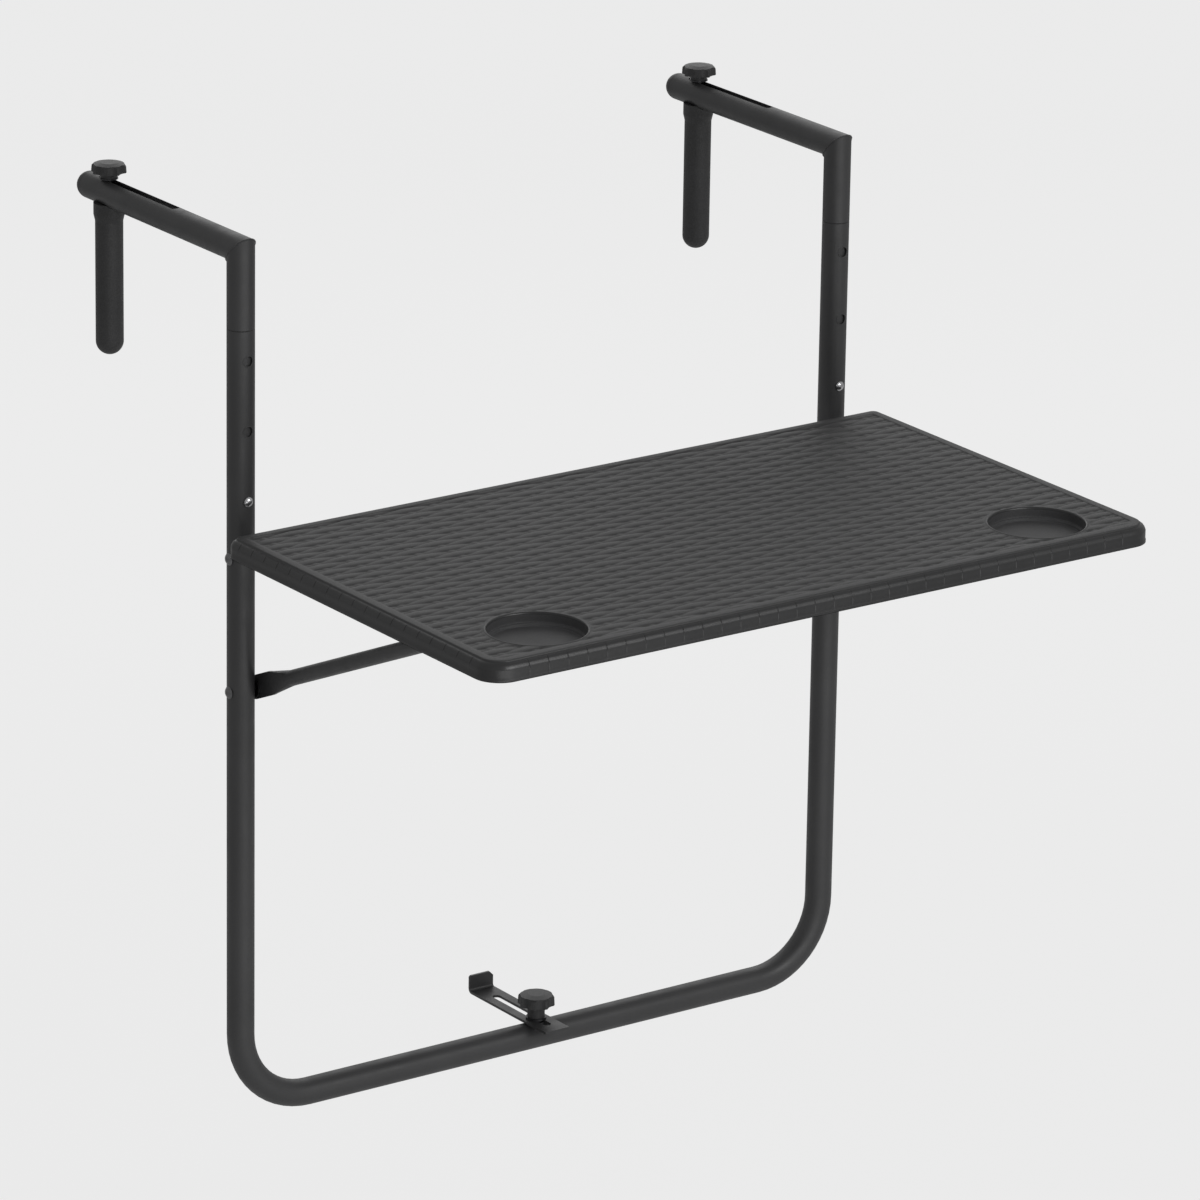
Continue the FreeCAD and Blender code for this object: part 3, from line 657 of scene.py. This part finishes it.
def weld_bead(side):
    """Weld along the mitre of post and arm: a fillet in the inner corner, thin at the sides."""
    points = []
    centre = Vector((side * POST_X, POST_Y, ARM_Z))
    for k in range(WELD_STEPS):
        turn = 2 * math.pi * k / WELD_STEPS
        ripple = 1 + 0.1 * math.sin(turn * 46) + 0.05 * math.sin(turn * 17 + 1)
        inner = max(0.0, math.sin(turn)) ** 3
        outer = max(0.0, -math.sin(turn)) ** 3
        seam = centre + TUBE_R * Vector((math.cos(turn), math.sin(turn), -math.sin(turn)))
        post_out = Vector((math.cos(turn), math.sin(turn), 0))
        arm_out = Vector((math.cos(turn), 0, -math.sin(turn)))
        out = post_out + arm_out
        leg = (WELD_LEG + WELD_INNER_LEG * inner) * ripple
        down = Vector((0, 0, -leg))
        along = Vector((0, leg, 0))
        rise = WELD_CREST - WELD_OUTER_CUT * outer + WELD_INNER_FILL * leg * inner
        crest = out * rise * ripple
        points.append(seam - out * WELD_ROOT)
        points.append(seam + down - post_out * WELD_ROOT)
        points.append(seam + down + post_out * WELD_TOE)
        points.append(seam + crest + down * 0.35 - along * 0.1 * inner)
        points.append(seam + crest + along * 0.35 - down * 0.1 * inner)
        points.append(seam + along + arm_out * WELD_TOE)
        points.append(seam + along - arm_out * WELD_ROOT)
    faces = strip_faces(WELD_STEPS, len(points) // WELD_STEPS, around=True)
    name = "weld_" + SIDES[side]
    body = "hook_" + SIDES[side]
    add_piece(name, points, faces, [FINISH["frame_tube"]], body)


for side in SIDES:
    weld_bead(side)


# Thin raised lips that punching leaves round the height holes


def hole_lip(side, n):
    """Lip of the nth hole from the top, on the tube's curve."""
    points = []
    for k in range(LIP_STEPS):
        turn = 2 * math.pi * k / LIP_STEPS
        for m in range(LIP_SECTION):
            roll = 2 * math.pi * m / LIP_SECTION
            radius = HOLE_R + LIP_OFFSET + LIP_HALF_W * math.cos(roll)
            across = radius * math.cos(turn)
            depth = math.sqrt(TUBE_R ** 2 - across ** 2) + LIP_HEIGHT * math.sin(roll)
            z = HOLE_Z[n] + radius * math.sin(turn)
            points.append((side * POST_X + across, POST_Y - depth, z))
    faces = strip_faces(LIP_STEPS, LIP_SECTION, around=True)
    name = "hole_lip_%s_%d" % (SIDES[side], n + 1)
    add_piece(name, points, faces, [FINISH["frame_tube"]], "frame")


for side in SIDES:
    for n in range(len(HOLE_Z)):
        hole_lip(side, n)


# Floor, backdrop and light, in metres

FLOOR_Z = -1.05
FLOOR_HALF = 30
FLOOR_GLOW = (0.883, 0.915)
FLOOR_GLOW_REACH = (1.5, 4.5)
FLOOR_CAMERA_SHARE = 0.85
WORLD_LIGHT = 0.42
WORLD_BACKDROP = 0.831
WORLD_GLOSS_SHARE = 0.15


def stage_floor():
    """Pale floor a railing's height below the hooks, bright to the camera but with shadows."""
    work = bmesh.new()
    bmesh.ops.create_grid(work, x_segments=8, y_segments=8, size=FLOOR_HALF)
    mesh = bpy.data.meshes.new("floor")
    work.to_mesh(mesh)
    work.free()
    floor = bpy.data.objects.new("floor", mesh)
    floor.location = (0, 0, FLOOR_Z)
    bpy.context.scene.collection.objects.link(floor)
    s = Shader("floor_finish")
    s.set(Roughness=0.9, Specular_IOR_Level=0.1)
    s.colour(s.tones(s.noise(0.5, detail=3), 1.0, 0.78, 0.8))
    reach = s.tree.nodes.new("ShaderNodeVectorMath")
    reach.operation = "LENGTH"
    s.link(s.place, reach.inputs[0])
    glow = s.tree.nodes.new("ShaderNodeEmission")
    strength = s.span(reach.outputs["Value"], *FLOOR_GLOW, *FLOOR_GLOW_REACH)
    s.link(strength, glow.inputs["Strength"])
    rays = s.tree.nodes.new("ShaderNodeLightPath")
    share = s.math("MULTIPLY", rays.outputs["Is Camera Ray"], FLOOR_CAMERA_SHARE)
    mix = s.tree.nodes.new("ShaderNodeMixShader")
    s.link(share, mix.inputs[0])
    s.link(s.surface.outputs[0], mix.inputs[1])
    s.link(glow.outputs[0], mix.inputs[2])
    s.link(mix.outputs[0], s.out.inputs["Surface"])
    mesh.materials.append(s.material)


def studio_world():
    """Pale backdrop to the camera and partly to gloss, softer light on the object."""
    world = bpy.data.worlds.new("studio")
    bpy.context.scene.world = world
    world.use_nodes = True
    tree = world.node_tree
    tree.nodes.clear()
    out = tree.nodes.new("ShaderNodeOutputWorld")
    mix = tree.nodes.new("ShaderNodeMixShader")
    soft = tree.nodes.new("ShaderNodeBackground")
    soft.inputs["Color"].default_value = (*grey(1.0), 1)
    soft.inputs["Strength"].default_value = WORLD_LIGHT
    pale = tree.nodes.new("ShaderNodeBackground")
    pale.inputs["Color"].default_value = (*grey(WORLD_BACKDROP), 1)
    pale.inputs["Strength"].default_value = 1.0
    rays = tree.nodes.new("ShaderNodeLightPath")
    gloss = tree.nodes.new("ShaderNodeMath")
    gloss.operation = "MULTIPLY"
    gloss.inputs[1].default_value = WORLD_GLOSS_SHARE
    seen = tree.nodes.new("ShaderNodeMath")
    seen.operation = "MAXIMUM"
    tree.links.new(rays.outputs["Is Glossy Ray"], gloss.inputs[0])
    tree.links.new(rays.outputs["Is Camera Ray"], seen.inputs[0])
    tree.links.new(gloss.outputs[0], seen.inputs[1])
    tree.links.new(seen.outputs[0], mix.inputs[0])
    tree.links.new(soft.outputs[0], mix.inputs[1])
    tree.links.new(pale.outputs[0], mix.inputs[2])
    tree.links.new(mix.outputs[0], out.inputs["Surface"])


def area_light(name, place, target, size, power):
    """Rectangular lamp of power watts at place, turned to target."""
    data = bpy.data.lights.new(name, "AREA")
    data.shape = "RECTANGLE"
    data.size, data.size_y = size
    data.energy = power
    lamp = bpy.data.objects.new(name, data)
    lamp.location = place
    lamp.rotation_euler = (Vector(target) - Vector(place)).to_track_quat("-Z", "Y").to_euler()
    bpy.context.scene.collection.objects.link(lamp)


stage_floor()
studio_world()
area_light("softbox_rear", (1.6, 2.3, 1.4), (0, -0.2, -0.2), (3.0, 2.4), 23.5)
area_light("softbox_front", (0.6, -2.65, 1.05), (0, -0.2, -0.3), (1.5, 0.5), 26)
area_light("softbox_low", (-0.3, -2.1, -0.6), (0, -0.1, -0.4), (2.2, 0.7), 9)


# Camera, from the fit of the object's corners: angles in degrees, distance in metres, the
# rest in mm

CAMERA_AZIMUTH = 35.537
CAMERA_ELEVATION = 18.615
CAMERA_ROLL = 0.926
CAMERA_TARGET = (-88.155, -210.5, -236.375)
CAMERA_DISTANCE = 5.5745
CAMERA_LENS = 228.07
CAMERA_SENSOR = 36.0


def studio_camera():
    """Camera at the photograph's angle."""
    azimuth = math.radians(CAMERA_AZIMUTH)
    elevation = math.radians(CAMERA_ELEVATION)
    roll = math.radians(CAMERA_ROLL)
    target = Vector(CAMERA_TARGET) * MM
    back = Vector((-math.sin(azimuth) * math.cos(elevation),
                   -math.cos(azimuth) * math.cos(elevation),
                   math.sin(elevation)))
    level = Vector((0, 0, 1)).cross(back).normalized()
    upright = back.cross(level)
    right = level * math.cos(roll) + upright * math.sin(roll)
    up = upright * math.cos(roll) - level * math.sin(roll)
    data = bpy.data.cameras.new("studio_camera")
    data.sensor_width = CAMERA_SENSOR
    data.lens = CAMERA_LENS
    data.clip_start = 0.1
    data.clip_end = 200.0
    camera = bpy.data.objects.new("studio_camera", data)
    turn = Matrix((right, up, back)).transposed().to_4x4()
    camera.matrix_world = Matrix.Translation(target + back * CAMERA_DISTANCE) @ turn
    bpy.context.scene.collection.objects.link(camera)
    bpy.context.scene.camera = camera


studio_camera()
bpy.context.scene.view_settings.view_transform = "Standard"
